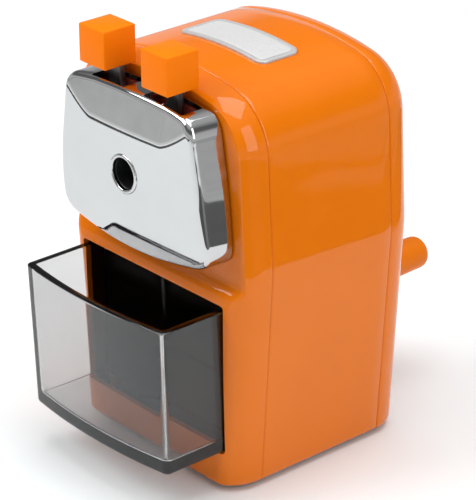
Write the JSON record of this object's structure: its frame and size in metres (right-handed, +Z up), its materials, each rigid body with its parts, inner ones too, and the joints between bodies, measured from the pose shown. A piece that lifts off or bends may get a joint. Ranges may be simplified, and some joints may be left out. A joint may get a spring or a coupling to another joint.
{
  "type": "crank pencil sharpener",
  "caption": "Desktop crank pencil sharpener: rounded casing, sprung chrome face plate with squeeze buttons, helical cutter, rear crank and clear shavings drawer.",
  "frame": {"origin": "middle of the base pad's underside, under the centre of the casing", "axes": "-Y to the front where the pencil goes in, +Y to the rear along the crank axis, +Z up, +X to the right as seen from the front"},
  "size_m": [0.0782, 0.1242, 0.1305],
  "materials": {
    "orange_casing": "gloss orange enamel",
    "orange_buttons": "satin orange plastic",
    "chrome_cover": "mirror chrome plating",
    "steel_parts": "plain steel",
    "tool_steel": "ground tool steel",
    "black_plastic": "moulded black plastic",
    "grey_plastic": "moulded grey plastic",
    "lever_metal": "grey coated steel",
    "smoke_clear": "smoky clear plastic",
    "rubber_pad": "matte black rubber",
    "silver_label": "silver foil label",
    "bronze_bushings": "sintered bronze"
  },
  "bodies": {
    "casing": {"front_panel": "orange_casing", "middle_shell": "orange_casing", "rear_panel": "orange_casing", "base_plate": "black_plastic", "base_pad": "rubber_pad", "base_screw_1": "steel_parts", "base_screw_2": "steel_parts", "base_screw_3": "steel_parts", "base_screw_4": "steel_parts", "top_label": "silver_label", "bay_liner": "black_plastic", "deck_plate": "black_plastic", "shavings_chute": "grey_plastic", "front_bearing": "grey_plastic", "ring_gear": "steel_parts", "cutter_housing": "grey_plastic", "rear_bearing": "grey_plastic", "shaft_bushing": "black_plastic", "left_rod_bushing": "bronze_bushings", "right_rod_bushing": "bronze_bushings"},
    "drawer": {"shavings_drawer": "smoke_clear"},
    "carriage": {"face_plate": "chrome_cover", "carriage_plate": "black_plastic", "pencil_tube": "black_plastic", "left_guide_rod": "steel_parts", "right_guide_rod": "steel_parts", "left_rod_stop": "steel_parts", "right_rod_stop": "steel_parts", "left_return_spring": "steel_parts", "right_return_spring": "steel_parts", "left_lever_pin": "steel_parts", "right_lever_pin": "steel_parts", "jaw_spring": "steel_parts"},
    "left_grip": {"left_lever": "lever_metal", "left_button": "orange_buttons", "left_jaw": "steel_parts"},
    "right_grip": {"right_lever": "lever_metal", "right_button": "orange_buttons", "right_jaw": "steel_parts"},
    "crank": {"cutter_carrier": "steel_parts", "crank_shaft": "steel_parts", "crank_arm": "steel_parts", "crank_screw": "steel_parts", "knob_pin": "steel_parts"},
    "cutter": {"helical_cutter": "tool_steel", "cutter_pinion": "steel_parts", "cutter_axle": "steel_parts"},
    "knob": {"crank_knob": "orange_buttons"}
  },
  "joints": [
    {"name": "drawer_slide", "type": "slide", "parent": "casing", "child": "drawer", "axis": [0, -1, 0], "range_m": [-0.02, 0.026]},
    {"name": "carriage_slide", "type": "slide", "parent": "casing", "child": "carriage", "axis": [0, -1, 0], "range_m": [0, 0.038], "stiffness_N_per_m": 60, "springref_m": -0.02, "deforming": ["left_return_spring", "right_return_spring"]},
    {"name": "left_squeeze", "type": "hinge", "parent": "carriage", "child": "left_grip", "pos_m": [-0.01, -0.0337, 0.1052], "axis": [0, 1, 0], "range_deg": [0, 16], "stiffness_Nm_per_rad": 0.2, "springref_deg": -14.32, "deforming": ["jaw_spring"]},
    {"name": "right_squeeze", "type": "hinge", "parent": "carriage", "child": "right_grip", "pos_m": [0.01, -0.0337, 0.1052], "axis": [0, 1, 0], "range_deg": [-16, 0], "stiffness_Nm_per_rad": 0.2, "springref_deg": 14.32},
    {"name": "crank_spin", "type": "hinge", "parent": "casing", "child": "crank", "pos_m": [0, 0.0267, 0.0916], "axis": [0, 1, 0], "continuous": true},
    {"name": "cutter_spin", "type": "hinge", "parent": "crank", "child": "cutter", "pos_m": [0, -0.0196, 0.10195], "axis": [0, 0.9799, -0.1994], "continuous": true},
    {"name": "knob_spin", "type": "hinge", "parent": "crank", "child": "knob", "pos_m": [0.0067, 0.0537, 0.0368], "axis": [0, 1, 0], "continuous": true}
  ],
  "couplings": [
    {"joint": "cutter_spin", "follows": "crank_spin", "ratio": -3.3},
    {"joint": "right_squeeze", "follows": "left_squeeze", "ratio": -1}
  ]
}
